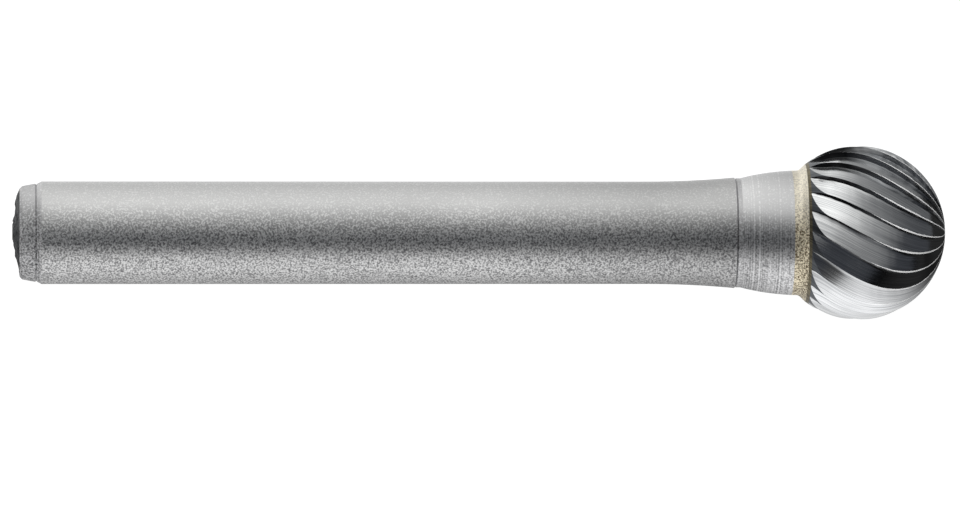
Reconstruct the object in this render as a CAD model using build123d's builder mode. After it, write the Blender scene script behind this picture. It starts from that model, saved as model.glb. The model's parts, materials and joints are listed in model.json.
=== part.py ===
"""A ball-nosed carbide burr: a turned steel shank, a braze joint and a fluted carbide head.

Millimetres, +Z up. The burr lies at rest on a flat surface at Z = 0, with its tip towards +X:
it touches on the rear rim of the shank and on two teeth of the ball. The origin is below the
middle of its length.
"""

import os
from math import asin, atan, atan2, cos, hypot, radians, sin, sqrt, tan

from build123d import *

os.makedirs("parts", exist_ok=True)

# Shank. Lengths along the tool are measured from its rear end.
shank_diameter = 6.0
shank_length = 45.65

# Rear end: a shallow dome left by cropping, then a tapered tail and a chamfer up to the shank.
# The tail's step, taper and corner are each taken off its radius.
dome_height = 0.47
tail_length = 1.45
tail_step = 0.13
tail_taper = 0.14
tail_corner = 0.15
rim_chamfer = 0.3

# Neck: the shank swells a little, has a shallow turned groove, then flares to the head.
swell_length = 5.1
swell_rise = 0.24
groove_width = 0.35
groove_depth = 0.04
flare_length = 3.0
flare_rise = 0.45
flare_start_angle = 15.0
flare_end_angle = 3.0

# Braze joint: a layer of solder that fills the corner between the neck and the ball.
solder_width = 0.4
corner_width = 0.4
corner_radius = 0.3

# Carbide head. Angles are in degrees, and latitudes run from the ball's equator to its tip.
ball_diameter = 10.2
base_latitude = -38.0
tooth_count = 22
land_share = 0.09
rake_share = 0.06
flank_angle = 9.0
helix_angle = 30.0
easing_angle = 7.5
flute_full_latitude = -17.0
flute_fade_latitude = 66.0
flute_end_latitude = 80.0
overrun_angle = 3.0
station_angle = 6.0
cutter_headroom = 0.4

shank_radius = shank_diameter / 2
swell_radius = shank_radius + swell_rise
neck_radius = swell_radius - groove_depth + flare_rise
ball_radius = ball_diameter / 2
head_base = shank_length + solder_width + corner_width
head_base_radius = ball_radius * cos(radians(base_latitude))
ball_centre = head_base - ball_radius * sin(radians(base_latitude))
rear_rim = tail_length + rim_chamfer
pitch_angle = 360 / tooth_count
half_opening = radians(pitch_angle * (1 - land_share) / 2)
root_turn = half_opening * (2 * rake_share - 1)
cutter_top = ball_radius + cutter_headroom

# Resting pose. Two teeth straddle the lowest point of the ball, half a flute's opening to each
# side of it, so the ball's centre lies a little lower than its radius.
half_gap = half_opening * cos(atan(radians(helix_angle)))
seat_height = ball_radius * cos(half_gap)
seat_span = ball_centre - rear_rim
rest_tilt = asin(seat_height / hypot(seat_span, shank_radius)) - atan2(shank_radius, seat_span)
rear_height = shank_radius * cos(rest_tilt) - rear_rim * sin(rest_tilt)
rear_offset = -(ball_centre * cos(rest_tilt) + ball_radius) / 2

# The burr's own directions: along it to its tip, and down square to that.
along = Vector(cos(rest_tilt), 0, sin(rest_tilt))
down = Vector(sin(rest_tilt), 0, -cos(rest_tilt))
rear_point = Vector(rear_offset, 0, rear_height)
ball_point = rear_point + along * ball_centre
tool_axis = Axis(rear_point, along)
side_plane = Plane(origin=rear_point, x_dir=along, z_dir=(0, -1, 0))
ball_plane = Plane(origin=ball_point, x_dir=down, z_dir=along)


def helix(latitude):
    """The angle that a flute has turned from the equator: it straightens towards the tip."""
    return radians(helix_angle * sin(latitude) - easing_angle * sin(latitude)**2)


def helix_slope(latitude):
    """The tangent of a flute's angle to the meridian."""
    return radians(helix_angle - 2 * easing_angle * sin(latitude)) * cos(latitude)**2


def flute_plane(latitude):
    """The plane across a flute at a latitude, its Y outwards and its X on along the turn."""
    turn = helix(latitude) - helix(-rest_tilt) + root_turn
    outward = Vector(cos(latitude) * cos(turn), cos(latitude) * sin(turn), sin(latitude))
    climb = Vector(-sin(latitude) * cos(turn), -sin(latitude) * sin(turn), cos(latitude))
    climb += Vector(-sin(turn), cos(turn), 0) * helix_slope(latitude)
    return Plane(origin=(0, 0, 0), x_dir=climb.cross(outward), z_dir=-climb)


def root_radius(latitude):
    """How far a flute's root lies from the ball's centre: the wheel leaves straight to the neck."""
    full = max(latitude, radians(flute_full_latitude))
    fade = radians(flute_fade_latitude)
    fading = max(0, (latitude - fade) / (radians(flute_end_latitude) - fade))
    across = 2 * half_opening * ball_radius * cos(full) * cos(atan(helix_slope(full)))
    flank_reach = across * (1 - rake_share) * (1 - fading**2)
    root = sqrt(ball_radius**2 - flank_reach**2) - flank_reach * tan(radians(flank_angle))
    return root / cos(full - latitude)


def flute_corners(latitude):
    """A flute's section: its root, the top of its steep rake face and the top of its flank."""
    root = root_radius(latitude)
    flank_top = (cutter_top - root) / tan(radians(flank_angle))
    rake_top = flank_top * rake_share / (1 - rake_share)
    return (0, root), (-rake_top, cutter_top), (flank_top, cutter_top)


with BuildPart() as shank:
    with BuildSketch(side_plane):
        with BuildLine():
            tail_front = (tail_length, shank_radius - tail_step)
            tail_rear = (dome_height + tail_corner, shank_radius - tail_step - tail_taper)
            dome_edge = (dome_height, tail_rear[1] - tail_corner)
            rim = (rear_rim, shank_radius)
            groove_front = (shank_length - flare_length, swell_radius - groove_depth)
            groove_rear = (groove_front[0] - groove_width, groove_front[1])
            swell_front = (groove_rear[0], swell_radius)
            swell_rear = (groove_rear[0] - swell_length, shank_radius)
            neck_end = (shank_length, neck_radius)
            start_slope = (1, tan(radians(flare_start_angle)))
            end_slope = (1, tan(radians(flare_end_angle)))
            TangentArc((0, 0), dome_edge, tangent=(0, 1))
            Polyline(dome_edge, tail_rear, tail_front, rim, swell_rear)
            TangentArc(swell_rear, swell_front, tangent=(1, 0))
            Polyline(swell_front, groove_rear, groove_front)
            Spline(groove_front, neck_end, tangents=(start_slope, end_slope))
            Polyline(neck_end, (shank_length, 0), (0, 0))
        make_face()
    revolve(axis=tool_axis)
    shank.part.label = "shank"

with BuildPart() as braze_joint:
    with BuildSketch(side_plane):
        neck_edge = (shank_length, neck_radius)
        solder_corner = (shank_length + solder_width, neck_radius)
        base_edge = (head_base, head_base_radius)
        with BuildLine():
            Polyline(neck_edge, solder_corner, base_edge, (head_base, 0), (shank_length, 0), close=True)
        make_face()
        fillet(vertices().sort_by_distance(solder_corner)[0], radius=corner_radius)
    revolve(axis=tool_axis)
    braze_joint.part.label = "braze_joint"

with BuildPart() as flute:
    first = base_latitude - overrun_angle
    last = flute_end_latitude + overrun_angle
    station_count = round((last - first) / station_angle)
    for station in range(station_count + 1):
        latitude = radians(first + (last - first) * station / station_count)
        with BuildSketch(flute_plane(latitude)):
            with BuildLine():
                Polyline(*flute_corners(latitude), close=True)
            make_face()
    loft()

with BuildPart(ball_plane) as cutting_head:
    with BuildSketch(side_plane):
        with BuildLine():
            tip = (ball_centre + ball_radius, 0)
            crown = (ball_centre, ball_radius)
            ThreePointArc(base_edge, crown, tip)
            Polyline(tip, (head_base, 0), base_edge)
        make_face()
    revolve(axis=tool_axis)
    with PolarLocations(0, tooth_count):
        add(flute.part, mode=Mode.SUBTRACT)
    cutting_head.part.label = "cutting_head"

export_step(shank.part, "parts/shank.step")
export_step(braze_joint.part, "parts/braze_joint.step")
export_step(cutting_head.part, "parts/cutting_head.step")
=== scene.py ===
# %% [markdown]
# # A ball-nosed carbide burr
#
# A burr is a small rotary file: a steel shank that a grinder's collet grips, and a head of
# tungsten carbide, brazed on, with flutes ground into it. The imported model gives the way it
# lies, and the sizes written here repeat those of its source. This notebook makes the surfaces
# that catch the eye: the blasted and turned steel, the speckled braze and the ground flutes.
# Everything is in metres.

import json
from math import asin, atan, atan2, cos, hypot, pi, radians, sin, sqrt, tan

import bmesh
import bpy
from mathutils import Matrix, Vector, noise


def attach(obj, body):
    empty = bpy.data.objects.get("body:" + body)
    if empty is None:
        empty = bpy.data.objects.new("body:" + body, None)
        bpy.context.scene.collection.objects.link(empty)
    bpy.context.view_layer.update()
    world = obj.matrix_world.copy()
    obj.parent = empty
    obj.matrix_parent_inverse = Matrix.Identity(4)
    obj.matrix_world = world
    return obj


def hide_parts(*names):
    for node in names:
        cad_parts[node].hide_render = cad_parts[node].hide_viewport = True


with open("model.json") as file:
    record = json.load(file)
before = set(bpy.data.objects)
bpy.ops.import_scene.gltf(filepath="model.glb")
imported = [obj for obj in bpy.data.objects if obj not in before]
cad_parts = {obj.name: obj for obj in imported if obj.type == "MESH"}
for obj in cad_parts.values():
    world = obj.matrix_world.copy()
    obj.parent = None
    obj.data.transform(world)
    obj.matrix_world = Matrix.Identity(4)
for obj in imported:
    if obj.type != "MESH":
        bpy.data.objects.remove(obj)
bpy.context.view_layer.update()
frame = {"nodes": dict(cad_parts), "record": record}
mm = 0.001
print("nodes:", sorted(frame["nodes"]))

# %% [markdown]
# ## How the burr lies
#
# The record's mount is the stretch of shank that a collet grips, so its axis is the axis of the
# whole tool. Each new piece is turned in the simplest place there is, along the X axis with the
# rear end at zero, and one matrix then lays it down. That keeps every size in the code a plain
# distance along the tool.

# %% Find the tool's axis
shank_radius = 3.0 * mm
rear_rim = 1.75 * mm
swell_rear = 37.2 * mm

grip = frame["record"]["mounts"][0]
along = -Vector(grip["axis"]).normalized()
rear_point = Vector(grip["pos_m"]) - along * (rear_rim + swell_rear) / 2
rest_tilt = atan2(along.z, along.x)
lay_down = Matrix.Translation(rear_point) @ Matrix.Rotation(-rest_tilt, 4, "Y")
print(f"the tool rises {rest_tilt / radians(1):.2f} degrees towards its tip")


# %% [markdown]
# ## A helper that hands a finished mesh over
#
# Meshes are built with bmesh, Blender's editing kernel. When one is done its doubles are merged,
# its normals are recalculated so that they point outwards, and it is laid down. An edge stays
# crisp only where its two faces meet at more than a given angle.

# %% Finish a piece
merge_distance = 0.0004 * mm


def finish_piece(bm, name, node, crisp_angle, materials):
    """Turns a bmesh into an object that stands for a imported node."""
    bmesh.ops.remove_doubles(bm, verts=bm.verts, dist=merge_distance)
    bmesh.ops.recalc_face_normals(bm, faces=bm.faces)
    bmesh.ops.transform(bm, matrix=lay_down, verts=bm.verts)
    for face in bm.faces:
        face.smooth = True
    for edge in bm.edges:
        edge.smooth = edge.calc_face_angle(0) < crisp_angle
    mesh = bpy.data.meshes.new(name)
    bm.to_mesh(mesh)
    bm.free()
    for material in materials:
        mesh.materials.append(material)
    piece = bpy.data.objects.new(name, mesh)
    bpy.context.scene.collection.objects.link(piece)
    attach(piece, "root")
    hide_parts(node)
    print(name, "has", sum(len(p.vertices) - 2 for p in mesh.polygons), "triangles")
    return piece


def turn_on_lathe(outline, steps):
    """Spins an open outline of (distance along, radius) points round the tool's axis."""
    bm = bmesh.new()
    points = [bm.verts.new((x, 0, radius)) for x, radius in outline]
    edges = [bm.edges.new(pair) for pair in zip(points, points[1:])]
    bmesh.ops.spin(bm, geom=points + edges, cent=(0, 0, 0), axis=(1, 0, 0), angle=2 * pi,
                   steps=steps, use_merge=True)
    return bm


# %% [markdown]
# ## Small helpers for materials
#
# Colours are written the way a paint program shows them, as sRGB hex, and one function turns
# them into the linear values that the shader works with. Another adds a node, with its settings
# and its inputs, so that a whole material reads from top to bottom. The last one measures from
# the rear end of the tool, for finishes that change along it or over its height.

# %% Colour and node helpers
def linear(hex_colour):
    """An sRGB hex colour as the linear RGBA that a shader wants."""
    parts = [int(hex_colour[i:i + 2], 16) / 255 for i in (1, 3, 5)]
    return [c / 12.92 if c <= 0.04045 else ((c + 0.055) / 1.055) ** 2.4 for c in parts] + [1.0]


def add_node(tree, kind, settings={}, inputs={}):
    """Adds a node, sets its properties, and gives its inputs a value or a link."""
    made = tree.nodes.new(kind)
    for name, value in settings.items():
        setattr(made, name, value)
    for name, value in inputs.items():
        if isinstance(value, bpy.types.NodeSocket):
            tree.links.new(value, made.inputs[name])
        else:
            made.inputs[name].default_value = value
    return made


def new_material(name):
    """An empty material and its node tree."""
    material = bpy.data.materials.new(name)
    material.use_nodes = True
    material.node_tree.nodes.clear()
    return material, material.node_tree


def distance_along(tree, place, direction):
    """How far a point lies from the middle of the rear end, measured in a direction."""
    from_rear = add_node(tree, "ShaderNodeVectorMath", {"operation": "SUBTRACT"}, {
        0: place, 1: rear_point})
    return add_node(tree, "ShaderNodeVectorMath", {"operation": "DOT_PRODUCT"}, {
        0: from_rear.outputs["Vector"], 1: direction}).outputs["Value"]


# %% [markdown]
# ## Blasted and turned steel
#
# The shank is free-cutting steel bar, turned and then blasted, which leaves a satin skin of tiny
# dents and specks. A real dent is a few hundredths of a millimetre, too fine to show here, so the
# grain is drawn 0.11 mm across. It is drawn as specks more than as dents, because dents this wide
# would look like leather. Towards the top of the shank the specks give way to the light colour,
# mixed in by the height over the tool's axis: a painted highlight where the top catches the light.
#
# The front third of the shank has painted shade: its colour gets darker and darker towards the
# joint. The flare looks turned after that: it is bright and keeps the tool's fine rings, which
# are noise that changes only along the axis. They too are drawn coarser than they are. The tail
# is darker, with a little scale left on it.

# %% Steel materials
grain_size = 0.11 * mm
ring_spacing = 0.11 * mm
patch_size = 5.0 * mm
over_axis = along.cross(Vector((0, 1, 0)))
# painted highlight: between these heights over the axis the specks give way to the light colour
painted_top_light_from, painted_top_light_full = 1.4 * mm, 2.8 * mm
# painted shade: between these distances from the rear the shank's colour is dimmed towards the joint
painted_shade_starts, painted_shade_full = 28 * mm, 41 * mm


def steel_skin(name, dark, light, ring_depth, roughness, painted_shade_level=1.0):
    """Steel with blasted specks and turned rings, a painted highlight on top and painted shade by the
    joint.
    """
    material, tree = new_material(name)
    place = add_node(tree, "ShaderNodeTexCoord").outputs["Object"]
    height = distance_along(tree, place, over_axis)
    reach = distance_along(tree, place, along)
    ring_at = add_node(tree, "ShaderNodeMath", {"operation": "DIVIDE"}, {0: reach, 1: ring_spacing})
    rings = add_node(tree, "ShaderNodeTexNoise", {"noise_dimensions": "1D"}, {
        "W": ring_at.outputs[0], "Scale": 1.0, "Detail": 2.0, "Roughness": 0.6})
    grain = add_node(tree, "ShaderNodeTexNoise", {}, {
        "Vector": place, "Scale": 1 / grain_size, "Detail": 2.0, "Roughness": 0.6})
    patches = add_node(tree, "ShaderNodeTexNoise", {}, {
        "Vector": place, "Scale": 1 / patch_size, "Detail": 2.0})
    # painted highlight: the top of the shank is coloured lighter, by its height over the axis
    painted_light_amount = add_node(tree, "ShaderNodeMapRange", {}, {
        "Value": height, "From Min": painted_top_light_from, "From Max": painted_top_light_full, "To Max": 0.78})
    mottle = add_node(tree, "ShaderNodeMix", {"data_type": "FLOAT"}, {
        0: ring_depth, 2: grain.outputs["Fac"], 3: rings.outputs["Fac"]})
    speck = add_node(tree, "ShaderNodeMapRange", {}, {
        "Value": mottle.outputs[0], "From Min": 0.36, "From Max": 0.6})
    speck = add_node(tree, "ShaderNodeMath", {"operation": "MAXIMUM"}, {
        0: speck.outputs["Result"], 1: painted_light_amount.outputs["Result"]})
    colour = add_node(tree, "ShaderNodeMix", {"data_type": "RGBA"}, {
        0: speck.outputs[0], 6: linear(dark), 7: linear(light)})
    # painted shade: the colour is dimmed more and more towards the joint, down to the level given
    painted_shade_ramp = add_node(tree, "ShaderNodeMapRange", {}, {
        "Value": reach, "From Min": painted_shade_starts, "From Max": painted_shade_full,
        "To Min": 1.0, "To Max": painted_shade_level})
    shank_shade_dimmed = add_node(tree, "ShaderNodeVectorMath", {"operation": "SCALE"}, {
        0: colour.outputs[2], "Scale": painted_shade_ramp.outputs["Result"]})
    wander = add_node(tree, "ShaderNodeMapRange", {}, {
        "Value": patches.outputs["Fac"], "From Min": 0.3, "From Max": 0.7,
        "To Min": roughness - 0.04, "To Max": roughness + 0.04})
    dents = add_node(tree, "ShaderNodeBump", {}, {
        "Strength": 0.7, "Distance": 0.014 * mm, "Height": mottle.outputs[0]})
    metal = add_node(tree, "ShaderNodeBsdfPrincipled", {}, {
        "Metallic": 1.0, "Base Color": shank_shade_dimmed.outputs["Vector"], "Roughness": wander.outputs["Result"],
        "Normal": dents.outputs["Normal"]})
    add_node(tree, "ShaderNodeOutputMaterial", {}, {"Surface": metal.outputs["BSDF"]})
    print(name, "grain", grain_size / mm, "mm")
    return material


# the blasted steel is painted down to 0.76 of its colour by the joint, as painted shade
blasted_steel = steel_skin("blasted_steel", "#868688", "#FEFEFE", 0.0, 0.47, painted_shade_level=0.76)
turned_steel = steel_skin("turned_steel", "#78787A", "#F2F2F3", 0.4, 0.47)
scaled_steel = steel_skin("scaled_steel", "#6E6E70", "#F2F2F3", 0.15, 0.62)

# %% [markdown]
# ## The cropped rear end
#
# The bar was cropped to length, so its end is a torn dome and not a machined face. Its near-black
# colour is partly the matt torn grain and partly painted shade, as the end lies in shadow; a few
# paler crumbs stand out.

# %% Cropped steel material
torn_grain = 0.2 * mm

cropped_steel, tree = new_material("cropped_steel")
place = add_node(tree, "ShaderNodeTexCoord").outputs["Object"]
tear = add_node(tree, "ShaderNodeTexNoise", {}, {
    "Vector": place, "Scale": 1 / torn_grain, "Detail": 4.0, "Roughness": 0.7})
speck = add_node(tree, "ShaderNodeMapRange", {}, {
    "Value": tear.outputs["Fac"], "From Min": 0.42, "From Max": 0.68})
# near-black: partly the torn grain's own colour, partly painted shade on the end in shadow
colour = add_node(tree, "ShaderNodeMix", {"data_type": "RGBA"}, {
    0: speck.outputs["Result"], 6: linear("#0E1012"), 7: linear("#5A5D60")})
rough = add_node(tree, "ShaderNodeBump", {}, {
    "Strength": 0.9, "Distance": 0.08 * mm, "Height": tear.outputs["Fac"]})
metal = add_node(tree, "ShaderNodeBsdfPrincipled", {}, {
    "Metallic": 1.0, "Base Color": colour.outputs[2], "Roughness": 0.5,
    "Normal": rough.outputs["Normal"]})
add_node(tree, "ShaderNodeOutputMaterial", {}, {"Surface": metal.outputs["BSDF"]})
print(cropped_steel.name)

# %% [markdown]
# ## The shank
#
# A shank is the plainest lathe work: one outline spun round an axis. The outline starts at the
# middle of the cropped end, goes over the tail and the rim, and swells very slightly before the
# turned groove, where the steel flares up to the head. The flare is a curve that leaves the
# groove at 15 degrees and ends almost level. A tool's corner left a fine nick at the front of the
# tail and another at the back of the groove, which show in the photo as thin dark lines.
#
# The dome is torn with noise: coarse steps from the break and a finer grain over them. Towards
# its edge the tearing dies away, so that it still meets the tail.

# %% Turn the shank
shank_length = 45.65 * mm
dome_height = 0.47 * mm
tail_length = 1.45 * mm
tail_radius = 2.87 * mm
tail_rear_radius = 2.73 * mm
tail_corner = 0.15 * mm
swell_front = 42.3 * mm
swell_radius = 3.24 * mm
groove_front = 42.65 * mm
groove_radius = 3.2 * mm
neck_radius = 3.65 * mm
start_angle, end_angle = radians(15), radians(3)
tail_nick, groove_nick = 0.07 * mm, 0.08 * mm

dome_radius = tail_rear_radius - tail_corner
dome_steps, swell_steps, flare_steps = 14, 8, 14
outline = []
for step in range(dome_steps + 1):
    share = step / dome_steps
    outline.append((dome_height * share ** 2, dome_radius * share))
outline += [(dome_height + tail_corner, tail_rear_radius), (tail_length - tail_nick, tail_radius)]
outline += [(tail_length, tail_radius - tail_nick), (tail_length + 0.05 * mm, tail_radius)]
outline += [(rear_rim, shank_radius), (swell_rear, shank_radius)]
for step in range(1, swell_steps + 1):
    share = step / swell_steps
    outline.append((swell_rear + (swell_front - swell_rear) * share,
                    shank_radius + (swell_radius - shank_radius) * share ** 2))
outline += [(swell_front + 0.04 * mm, groove_radius - groove_nick)]
outline += [(swell_front + 0.1 * mm, groove_radius), (groove_front, groove_radius)]
flare_length = shank_length - groove_front
rise = neck_radius - groove_radius
start_slope, end_slope = tan(start_angle) * flare_length, tan(end_angle) * flare_length
for step in range(1, flare_steps + 1):
    t = step / flare_steps
    climb = (t ** 3 - 2 * t ** 2 + t) * start_slope + (3 * t ** 2 - 2 * t ** 3) * rise
    climb += (t ** 3 - t ** 2) * end_slope
    outline.append((groove_front + flare_length * t, groove_radius + climb))
outline.append((shank_length, 0))

# %% Tear the dome and finish the shank
round_steps = 160
break_size, crumb_size = 1.3 * mm, 0.4 * mm
least_reach = 0.04 * mm

bm = turn_on_lathe(outline, round_steps)
for vertex in bm.verts:
    if vertex.co.x < dome_height + 0.01 * mm:
        tear = noise.noise(vertex.co / break_size) * 0.34 + noise.noise(vertex.co / crumb_size) * 0.12
        outward = hypot(vertex.co.y, vertex.co.z) / dome_radius
        vertex.co.x = max(least_reach, vertex.co.x + (0.1 + tear) * mm * (1 - outward ** 3))
for face in bm.faces:
    reach = face.calc_center_median().x
    if reach > swell_front:
        face.material_index = 1
    elif reach < rear_rim:
        face.material_index = 2 if hypot(*face.calc_center_median().yz) > dome_radius else 3
shank = finish_piece(bm, "turned_shank", "shank", radians(14),
                     [blasted_steel, turned_steel, scaled_steel, cropped_steel])

# %% [markdown]
# ## Silver solder
#
# The head is brazed on with a silver alloy. Molten, it wets both parts and freezes as a soft
# collar with a grainy, pale yellow skin, stained brown by the flux. Towards the top it is painted
# nearly cream, mixed in by the height over the tool's axis: a painted sheen, where the top of the
# collar catches the light. Its beads are drawn 0.11 mm wide, as coarse as they need to be to show.

# %% Silver solder material
solder_grain = 0.11 * mm
# painted sheen: between these heights over the axis the solder turns nearly cream
painted_sheen_from, painted_sheen_full = 2.0 * mm, 3.4 * mm

silver_solder, tree = new_material("silver_solder")
place = add_node(tree, "ShaderNodeTexCoord").outputs["Object"]
beads = add_node(tree, "ShaderNodeTexNoise", {}, {
    "Vector": place, "Scale": 1 / solder_grain, "Detail": 3.0, "Roughness": 0.7})
speck = add_node(tree, "ShaderNodeMapRange", {}, {
    "Value": beads.outputs["Fac"], "From Min": 0.4, "From Max": 0.58})
# painted sheen: the cream colour is mixed in towards the top of the collar
painted_light_amount = add_node(tree, "ShaderNodeMapRange", {}, {
    "Value": distance_along(tree, place, over_axis), "From Min": painted_sheen_from, "From Max": painted_sheen_full,
    "To Max": 0.6})
colour = add_node(tree, "ShaderNodeMix", {"data_type": "RGBA"}, {
    0: speck.outputs["Result"], 6: linear("#4E3D1E"), 7: linear("#FAEFD4")})
colour = add_node(tree, "ShaderNodeMix", {"data_type": "RGBA"}, {
    0: painted_light_amount.outputs["Result"], 6: colour.outputs[2], 7: linear("#FFFAEC")})
skin = add_node(tree, "ShaderNodeBump", {}, {
    "Strength": 0.7, "Distance": 0.04 * mm, "Height": beads.outputs["Fac"]})
metal = add_node(tree, "ShaderNodeBsdfPrincipled", {}, {
    "Metallic": 0.8, "Base Color": colour.outputs[2], "Roughness": 0.42,
    "Normal": skin.outputs["Normal"]})
add_node(tree, "ShaderNodeOutputMaterial", {}, {"Surface": metal.outputs["BSDF"]})
print(silver_solder.name)

# %% Turn the braze joint
solder_end = 46.05 * mm
head_base = 46.45 * mm
ball_radius = 5.1 * mm
base_latitude = radians(-38)
base_radius = ball_radius * cos(base_latitude)
ball_centre = head_base - ball_radius * sin(base_latitude)

outline = [(shank_length, 0), (shank_length, neck_radius), (solder_end - 0.1 * mm, neck_radius)]
outline += [(solder_end + 0.02 * mm, neck_radius + 0.03 * mm)]
outline += [(solder_end + 0.14 * mm, neck_radius + 0.11 * mm), (head_base, base_radius), (head_base, 0)]
bm = turn_on_lathe(outline, round_steps)
braze = finish_piece(bm, "braze_collar", "braze_joint", radians(30), [silver_solder])

# %% [markdown]
# ## Ground carbide
#
# Tungsten carbide is a dark, heavy grey metal composite. A diamond wheel ran along each flute
# and left bright, fine lines in its own direction. The lines follow the flute and not the room,
# so their pattern is laid out on a map of the tooth: across the tooth in millimetres one way and
# along it the other. A real line is about a hundredth of a millimetre wide, too fine to show, so
# the lines are drawn 0.065 mm apart.
#
# The same map places painted shade in the gullets: the steep rake faces are painted nearly black
# behind the equator, where the deep gullets lie in shadow, and lighten in front of it.
#
# Each finish gives the eye something else. The flank is ground almost to a mirror and shows the
# room, the land is honed and its thin white line is a painted highlight, a near-white, mostly
# non-metal finish standing in for the glint of its rounded edge, the sintered blank between the
# leaves is a dull grey, and next to the braze it is stained brown.

# %% Carbide materials
line_spacing = 0.065
line_length = 5.0
# painted shade: along the tooth map, from -0.9 mm to 1.2 mm, the colour goes from dimmed to full
painted_gullet_shade_from, painted_gullet_shade_gone = -0.9, 1.2


def ground_carbide(name, dark, light, roughness, depth, metallic=1.0, painted_shade_by_neck=1.0):
    """Carbide with grinding lines along the tooth, and painted shade that darkens it by the neck."""
    material, tree = new_material(name)
    tooth_map = add_node(tree, "ShaderNodeUVMap", {"uv_map": "along_tooth"})
    stretch = add_node(tree, "ShaderNodeMapping", {}, {
        "Vector": tooth_map.outputs["UV"], "Scale": (1 / line_spacing, 1 / line_length, 1)})
    lines = add_node(tree, "ShaderNodeTexNoise", {}, {
        "Vector": stretch.outputs["Vector"], "Scale": 1.0, "Detail": 3.0, "Roughness": 0.6})
    streak = add_node(tree, "ShaderNodeMapRange", {}, {
        "Value": lines.outputs["Fac"], "From Min": 0.3, "From Max": 0.7})
    colour = add_node(tree, "ShaderNodeMix", {"data_type": "RGBA"}, {
        0: streak.outputs["Result"], 6: linear(dark), 7: linear(light)})
    # painted shade: the colour is dimmed by the neck, down to the share given
    from_equator = add_node(tree, "ShaderNodeSeparateXYZ", {}, {"Vector": tooth_map.outputs["UV"]})
    painted_light_amount = add_node(tree, "ShaderNodeMapRange", {}, {
        "Value": from_equator.outputs["Y"], "From Min": painted_gullet_shade_from, "From Max": painted_gullet_shade_gone,
        "To Min": painted_shade_by_neck})
    gullet_shade_dimmed = add_node(tree, "ShaderNodeVectorMath", {"operation": "SCALE"}, {
        0: colour.outputs[2], "Scale": painted_light_amount.outputs["Result"]})
    scratches = add_node(tree, "ShaderNodeBump", {}, {
        "Strength": depth, "Distance": 0.004 * mm, "Height": lines.outputs["Fac"]})
    metal = add_node(tree, "ShaderNodeBsdfPrincipled", {}, {
        "Metallic": metallic, "Base Color": gullet_shade_dimmed.outputs["Vector"], "Roughness": roughness,
        "Normal": scratches.outputs["Normal"]})
    add_node(tree, "ShaderNodeOutputMaterial", {}, {"Surface": metal.outputs["BSDF"]})
    print(name)
    return material


flank_carbide = ground_carbide("ground_carbide_flank", "#B2B4B7", "#F6F7F8", 0.15, 0.8)
# painted highlight: a near-white, mostly non-metal land stands in for the glint of its rounded edge
land_painted_glint = ground_carbide("honed_land_painted_glint", "#F0F0F0", "#FCFCFC", 0.4, 0.2, 0.1)
# the rake faces are painted down to 0.07 of their colour behind the equator, as painted shade
rake_carbide = ground_carbide("ground_carbide_rake", "#85888C", "#ECEDEF", 0.25, 0.8, painted_shade_by_neck=0.07)
blank_carbide = ground_carbide("sintered_carbide_blank", "#45484C", "#6A6D71", 0.35, 0.8)
stained_carbide = ground_carbide("flux_stained_carbide", "#4E483E", "#8E866F", 0.45, 0.9)

# %% [markdown]
# ## The shape of a tooth
#
# Each flute is a notch with a long shallow flank and a short steep rake face. Cut straight
# across, the notch is a triangle that the wheel took out of the ball. From neck to tip the flute
# winds round the axis by about 44 degrees, and it is cut full from well behind the equator.
# Towards the neck the wheel lifted out of the ball, which ends each flank in a pointed leaf, and
# towards the tip the flute fades to nothing.
#
# So only two questions need an answer at each latitude: how far across does the flank reach, and
# how deep is the root? The sizes of the solid model answer them, with three changes that follow
# the photo. Towards the neck the wheel lifts out of the ball 5 degrees later and faster, which
# rounds the leaves. Towards the tip the flute fades 6 degrees later. And the narrow land between
# two flutes is ground away behind the equator, so the root and the rake lie closer to the flank.

# %% Sizes of a tooth
tooth_count = 22
pitch_angle = 2 * pi / tooth_count
land_share = 0.09
rake_share = 0.06
half_opening = pitch_angle * (1 - land_share) / 2
flank_slope = tan(radians(9))
flute_full, exit_sharpness = radians(-22), 1.34
flute_fade, flute_end = radians(72), radians(86)
land_starts, land_full = radians(4), radians(24)


def helix(latitude):
    """The angle that a flute has turned from the equator."""
    return radians(30 * sin(latitude) - 7.5 * sin(latitude) ** 2)


def helix_slope(latitude):
    """The tangent of a flute's angle to the meridian."""
    return radians(30 - 15 * sin(latitude)) * cos(latitude) ** 2


def share_of_way(value, start, end):
    """How far a value has come from a start, 0, to an end, 1."""
    return min(1, max(0, (value - start) / (end - start)))


def notch(latitude):
    """The reach of the flank over the ball, and the distance of the root from the centre."""
    full = max(latitude, flute_full)
    fading = share_of_way(latitude, flute_fade, flute_end)
    across = 2 * half_opening * ball_radius * cos(full) * cos(atan(helix_slope(full)))
    reach = across * (1 - rake_share) * (1 - fading ** 2)
    root = sqrt(ball_radius ** 2 - reach ** 2) - reach * flank_slope
    root = min(ball_radius, root / cos((full - latitude) * exit_sharpness))
    depth = (ball_radius - root) / ball_radius
    return ball_radius * (sqrt(flank_slope ** 2 + 2 * depth) - flank_slope), root


for degrees in (-30, 0, 40, 70):
    reach, root = notch(radians(degrees))
    depth = ball_radius - root
    print(f"latitude {degrees}: the flank reaches {reach / mm:.2f} mm, {depth / mm:.2f} mm deep")

# %% [markdown]
# ## Grinding the head
#
# It could be done the way the factory does it, with 22 wheels cut out of a ball by booleans.
# That leaves long thin triangles that spoil a polished surface. Here the head starts as a clean
# grid: a meridian is spun round the axis in uneven steps, ten across each flank, four across the
# land and three down the rake. Every point is then moved to where the notch puts it, so the
# grid's lines run along the teeth and their edges stay sharp. The ball is made a hair smaller
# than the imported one, so that no edge stands out of it.

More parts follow.
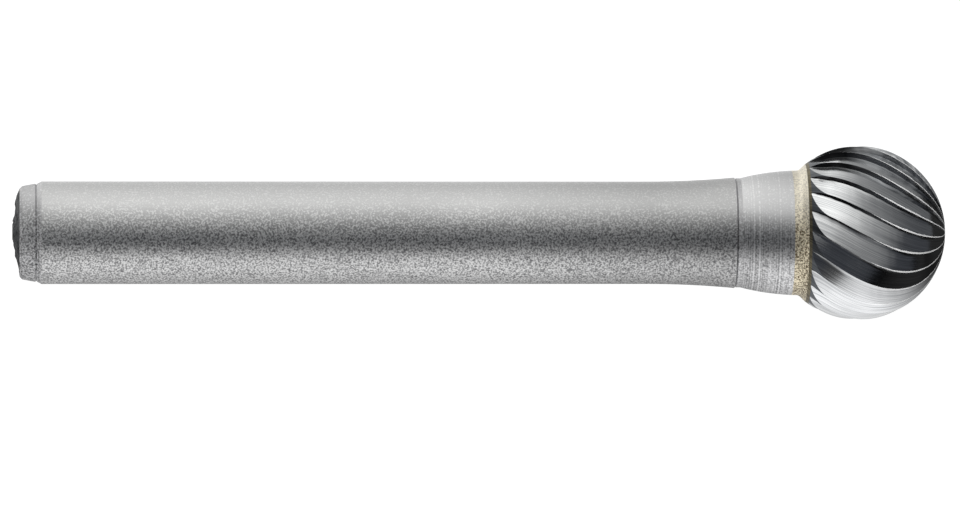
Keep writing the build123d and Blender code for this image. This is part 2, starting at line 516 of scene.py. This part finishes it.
# %% Spin a grid
ring_count = 110
flank_part, land_part, rake_part = 0.85, 0.09, 0.06
ball_radius = 5.095 * mm
base_radius = ball_radius * cos(base_latitude)
zones = [(flank_part, 10), (land_part, 4), (rake_part, 3)]

bm = bmesh.new()
start = bm.verts.new((ball_radius * sin(base_latitude), 0, base_radius))
bmesh.ops.spin(bm, geom=[start], cent=(0, 0, 0), axis=(0, 1, 0), angle=pi / 2 - base_latitude,
               steps=ring_count)
first_meridian = set(bm.verts)
side = list(bm.verts) + list(bm.edges)
for tooth in range(tooth_count):
    for share, steps in zones:
        turned = bmesh.ops.spin(bm, geom=side, cent=(0, 0, 0), axis=(1, 0, 0),
                                angle=pitch_angle * share, steps=steps)
        side = turned["geom_last"]
print("the grid has", len(bm.faces), "faces")

# %% [markdown]
# A point of the grid is known by its tooth, its latitude and its share of the pitch. The root and
# the flank's upper edge wander by a few hundredths of a millimetre, as the wheel chatters in hard
# carbide. The root is also lifted by half of that, because a worn wheel leaves a rounded gullet.
# Behind the equator the land gives up a share of the pitch, and the rake and the root move back
# into its place.

# %% Find a point's place on its tooth
gullet_fill, gullet_share = 0.022 * mm, 0.15
drawn_share = 0.08
edge_chatter = 0.045 * mm
chatter_length = 0.35 * mm


def chatter(latitude, tooth, line):
    """How far an edge wanders from its true line, as an angle at the ball's centre."""
    at = Vector((latitude * ball_radius / chatter_length, tooth * 5.3, line * 7.7))
    return noise.noise(at) * edge_chatter / ball_radius


def place_on_tooth(tooth, latitude, share):
    """How far a point turns from its tooth's root, seen square to the tooth, and its radius."""
    reach, root = notch(latitude)
    pitch = pitch_angle * max(cos(latitude) * cos(atan(helix_slope(latitude))), 1e-6)
    flank_end = asin(reach / ball_radius)
    rake_start = flank_end * rake_share / (1 - rake_share)
    land = share_of_way(latitude, land_starts, land_full)
    drawn_in = drawn_share * pitch * (1 - land)
    gullet = min(gullet_fill, (ball_radius - root) * gullet_share)
    if share < flank_part:
        up = share / flank_part
        turn = flank_end * up
        radius = root / (cos(turn) - flank_slope * sin(turn)) + gullet * max(0, 1 - up * 10)
        turn += (chatter(latitude, tooth, 1) * pitch / pitch_angle - drawn_in / 2) * (1 - up)
    elif share < flank_part + land_part:
        over = (share - flank_part) / land_part
        turn = flank_end + (pitch - drawn_in - rake_start - flank_end) * over
        turn += chatter(latitude, tooth, 2) * (1 - over) * land * pitch / pitch_angle
        radius = ball_radius
    else:
        left = (1 - share) / rake_part
        turn = pitch - drawn_in / 2 - (rake_start + drawn_in / 2) * left
        turn += chatter(latitude, (tooth + 1) % tooth_count, 1) * (1 - left) * pitch / pitch_angle
        radius = root + gullet + (ball_radius - root - gullet) * left
    return turn, min(radius, ball_radius), pitch


turned_by = {}
height_of = {}
for vertex in bm.verts:
    height_of[vertex] = atan2(vertex.co.x, hypot(vertex.co.y, vertex.co.z))
    turned_by[vertex] = atan2(-vertex.co.y, vertex.co.z) % (2 * pi)
    if vertex in first_meridian:
        turned_by[vertex] = 0
    elif turned_by[vertex] < 0.001:
        turned_by[vertex] = 2 * pi
print("places read for", len(turned_by), "points")

# %% [markdown]
# The map of the teeth is laid out face by face, because a root belongs to two teeth. Each tooth
# gets its own stretch of the map, so that no two show the same lines. Faces take their finish
# from their share of the pitch: flank, land or rake. Near the neck, where the flutes run out,
# the land widens into the bare sintered ball, and flux has stained the carbide next to the braze.

# %% Lay out the map and the finishes
land_ends = radians(-22)
stain_ends = radians(-35)
tooth_map = bm.loops.layers.uv.new("along_tooth")
for face in bm.faces:
    middle = sum(turned_by[vertex] for vertex in face.verts) / len(face.verts)
    top = max(height_of[vertex] for vertex in face.verts)
    tooth = int(middle / pitch_angle)
    share = middle / pitch_angle - tooth
    for loop in face.loops:
        loop_share = min(1, max(0, turned_by[loop.vert] / pitch_angle - tooth))
        across = place_on_tooth(tooth, height_of[loop.vert], loop_share)[0] * ball_radius
        loop[tooth_map].uv = (tooth * 3 + across / mm, height_of[loop.vert] * ball_radius / mm)
    face.material_index = 0 if share < flank_part else 1 if share < flank_part + land_part else 2
    if face.material_index == 1 and top < land_ends:
        face.material_index = 3
    if top < stain_ends:
        face.material_index = 4

# %% Move every point
root_turn = half_opening * (2 * rake_share - 1)
start_turn = pi + root_turn - helix(-rest_tilt)
for vertex in bm.verts:
    latitude = height_of[vertex]
    if latitude > radians(89.9):
        continue
    tooth = min(tooth_count - 1, int(turned_by[vertex] / pitch_angle + 0.001))
    share = min(1, max(0, turned_by[vertex] / pitch_angle - tooth))
    turn, radius, pitch = place_on_tooth(tooth, latitude, share)
    turn = start_turn + pitch_angle * (tooth + turn / pitch) + helix(latitude)
    vertex.co = Vector((sin(latitude), -cos(latitude) * sin(turn), cos(latitude) * cos(turn))) * radius
bmesh.ops.translate(bm, vec=(ball_centre, 0, 0), verts=bm.verts)
bmesh.ops.remove_doubles(bm, verts=bm.verts, dist=merge_distance)
rim = [edge for edge in bm.edges if edge.is_boundary]
bmesh.ops.contextual_create(bm, geom=rim)
head = finish_piece(bm, "fluted_ball", "cutting_head", radians(17),
                    [flank_carbide, land_painted_glint, rake_carbide, blank_carbide, stained_carbide])

# %% [markdown]
# ## The floor and the light
#
# The burr lies on plain white paper. Polished metal has no look of its own: it shows what is
# round it. The bright room above gives the pale upper half of the shank and the bright flanks,
# the dark room in front gives the dark band, and the paper gives the pale band below. The paper
# and the room are white to the camera, and the paper keeps the burr's shadow. What the metal
# mirrors is the lit patch in front of the ball: the paper dims towards the camera, beyond the
# tip, along the shank and in the burr's own shadow. One gradient stands for each of these, with
# the places where it is dark and bright, in millimetres, and what is left of the light there.

# %% White paper floor
paper_light = 1.2

paper, tree = new_material("white_paper")
rays = add_node(tree, "ShaderNodeLightPath")
matt = add_node(tree, "ShaderNodeBsdfDiffuse", {}, {"Color": linear("#F4F4F4")})
white = add_node(tree, "ShaderNodeEmission", {}, {
    "Color": linear("#FFFFFF"), "Strength": paper_light})
share = add_node(tree, "ShaderNodeMath", {"operation": "MULTIPLY"}, {
    0: rays.outputs["Is Camera Ray"], 1: 0.8})
sheet = add_node(tree, "ShaderNodeMixShader", {}, {
    0: share.outputs[0], 1: matt.outputs[0], 2: white.outputs[0]})
place = add_node(tree, "ShaderNodeTexCoord").outputs["Object"]
place = add_node(tree, "ShaderNodeSeparateXYZ", {}, {"Vector": place})
aside = add_node(tree, "ShaderNodeMath", {"operation": "ABSOLUTE"}, {0: place.outputs["Y"]})
paper_edges = [
    ("towards the camera", place.outputs["Y"], -40, -8, 0.08),
    ("beyond the tip", place.outputs["X"], 32, 25, 0.02),
    ("along the shank", place.outputs["X"], 15, 19, 0.72),
    ("under the burr", aside.outputs[0], 1, 5, 0.5),
]
lit = paper_light
for side, distance, dark, bright, least in paper_edges:
    ramp = add_node(tree, "ShaderNodeMapRange", {}, {
        "Value": distance, "From Min": dark * mm, "From Max": bright * mm, "To Min": least})
    lit = add_node(tree, "ShaderNodeMath", {"operation": "MULTIPLY"}, {
        0: ramp.outputs["Result"], 1: lit}).outputs[0]
    print("the mirrored paper is darker", side)
mirrored = add_node(tree, "ShaderNodeEmission", {}, {"Color": linear("#FFFFFF"), "Strength": lit})
sheet = add_node(tree, "ShaderNodeMixShader", {}, {
    0: rays.outputs["Is Glossy Ray"], 1: sheet.outputs[0], 2: mirrored.outputs[0]})
add_node(tree, "ShaderNodeOutputMaterial", {}, {"Surface": sheet.outputs[0]})

sheet_reach = 4

bm = bmesh.new()
bmesh.ops.create_grid(bm, x_segments=1, y_segments=1, size=sheet_reach)
floor_mesh = bpy.data.meshes.new("floor")
bm.to_mesh(floor_mesh)
bm.free()
floor_mesh.materials.append(paper)
floor = bpy.data.objects.new("floor", floor_mesh)
bpy.context.scene.collection.objects.link(floor)
print("floor laid")

# %% [markdown]
# The room is one soft shape, made by multiplying four gradients: it is dark towards the camera,
# it dims slowly towards both ends of the burr, and it has a dark corner at the back right. Each
# gradient follows the cosine of the angle to a direction. A faint glow is added high in the dark
# front, to the right, as from a pale wall there.

# %% The room
room_edges = [
    ("in front", (0, 0.766, 0.643), -0.22, 0.62, 0.0),
    ("beyond the tip", (1, 0, 0), 1.05, -0.35, 0.0),
    ("beyond the shank", (-1, 0, 0), 1.1, 0.45, 0.0),
    ("back right corner", (0.95, 0.31, 0), 0.36, 0.0, 0.38),
]
glow_direction = Vector((0.40, -0.60, 0.69))

room = bpy.data.worlds.new("room")
bpy.context.scene.world = room
room.use_nodes = True
tree = room.node_tree
tree.nodes.clear()
rays = add_node(tree, "ShaderNodeLightPath")
direction = add_node(tree, "ShaderNodeTexCoord").outputs["Generated"]
share = 1.0
for side, axis, dark, bright, least in room_edges:
    amount = add_node(tree, "ShaderNodeVectorMath", {"operation": "DOT_PRODUCT"}, {
        0: direction, 1: Vector(axis)})
    ramp = add_node(tree, "ShaderNodeMapRange", {}, {
        "Value": amount.outputs["Value"], "From Min": dark, "From Max": bright, "To Min": least})
    share = add_node(tree, "ShaderNodeMath", {"operation": "MULTIPLY"}, {
        0: ramp.outputs["Result"], 1: share}).outputs[0]
    print("the room is darker", side)
amount = add_node(tree, "ShaderNodeVectorMath", {"operation": "DOT_PRODUCT"}, {
    0: direction, 1: glow_direction})
glow = add_node(tree, "ShaderNodeMapRange", {}, {
    "Value": amount.outputs["Value"], "From Min": 0.78, "From Max": 0.97, "To Max": 0.17})
share = add_node(tree, "ShaderNodeMath", {"operation": "ADD"}, {0: share, 1: glow.outputs["Result"]})
light = add_node(tree, "ShaderNodeMix", {"data_type": "RGBA"}, {
    0: share.outputs[0], 6: linear("#313337"), 7: linear("#E8E8E6")})
walls = add_node(tree, "ShaderNodeBackground", {}, {"Color": light.outputs[2], "Strength": 1.55})
white = add_node(tree, "ShaderNodeBackground", {}, {"Color": linear("#FFFFFF"), "Strength": 1.0})
seen = add_node(tree, "ShaderNodeMixShader", {}, {
    0: rays.outputs["Is Camera Ray"], 1: walls.outputs[0], 2: white.outputs[0]})
add_node(tree, "ShaderNodeOutputWorld", {}, {"Surface": seen.outputs[0]})

# %% [markdown]
# Two soft lamps give the paper its light and the burr its faint shadow. Neither is mirrored in
# the metal, where their edges would show.

# %% The lamps
def soft_lamp(name, direction, distance, size, brightness):
    """A rectangular soft lamp that faces the burr; brightness is that of its face, at any size."""
    data = bpy.data.lights.new(name, "AREA")
    data.shape = "RECTANGLE"
    data.size, data.size_y = size
    data.energy = brightness * pi * size[0] * size[1]
    lamp = bpy.data.objects.new(name, data)
    direction = Vector(direction).normalized()
    lamp.location = direction * distance
    lamp.rotation_mode = "QUATERNION"
    lamp.rotation_quaternion = direction.to_track_quat("Z", "X")
    lamp.visible_camera = False
    lamp.visible_glossy = False
    bpy.context.scene.collection.objects.link(lamp)
    print(name, "power", round(data.energy, 2), "W")
    return lamp


soft_lamp("overhead_softbox", (-0.2, 0.2, 0.96), 0.5, (0.7, 0.6), 0.4)
soft_lamp("front_fill", (-0.3, -0.75, 0.6), 0.6, (0.5, 0.4), 3.0)

# %% [markdown]
# ## The camera
#
# The photograph was taken from well above and far away: the flutes show it to be about 33
# degrees above the floor, and the ball is hardly larger than its true share. The tip points a
# little away from the camera. The frame is 56.2 mm wide at the burr, and the burr lies slightly
# above its middle.

# %% Set the camera
camera_rise = radians(33.2)
tip_away = radians(2.3)
camera_distance = 650 * mm
frame_width = 56.2 * mm
frame_middle, frame_drop = 27.4 * mm, 1.478 * mm
look_at = rear_point + along * frame_middle

towards = Vector((0, -cos(camera_rise), sin(camera_rise)))
across = (towards - along * along.dot(towards)).normalized()
back = (across * cos(tip_away) - along * sin(tip_away)).normalized()
right = (along - back * back.dot(along)).normalized()
up = back.cross(right)
data = bpy.data.cameras.new("camera")
data.lens = data.sensor_width * camera_distance / frame_width
data.clip_start, data.clip_end = 0.01, 20
camera = bpy.data.objects.new("camera", data)
turned = Matrix((right, up, back)).transposed().to_4x4()
camera.matrix_world = Matrix.Translation(look_at - up * frame_drop + back * camera_distance) @ turned
bpy.context.scene.collection.objects.link(camera)
bpy.context.scene.camera = camera
bpy.context.scene.view_settings.view_transform = "Standard"
print("lens", round(data.lens), "mm")
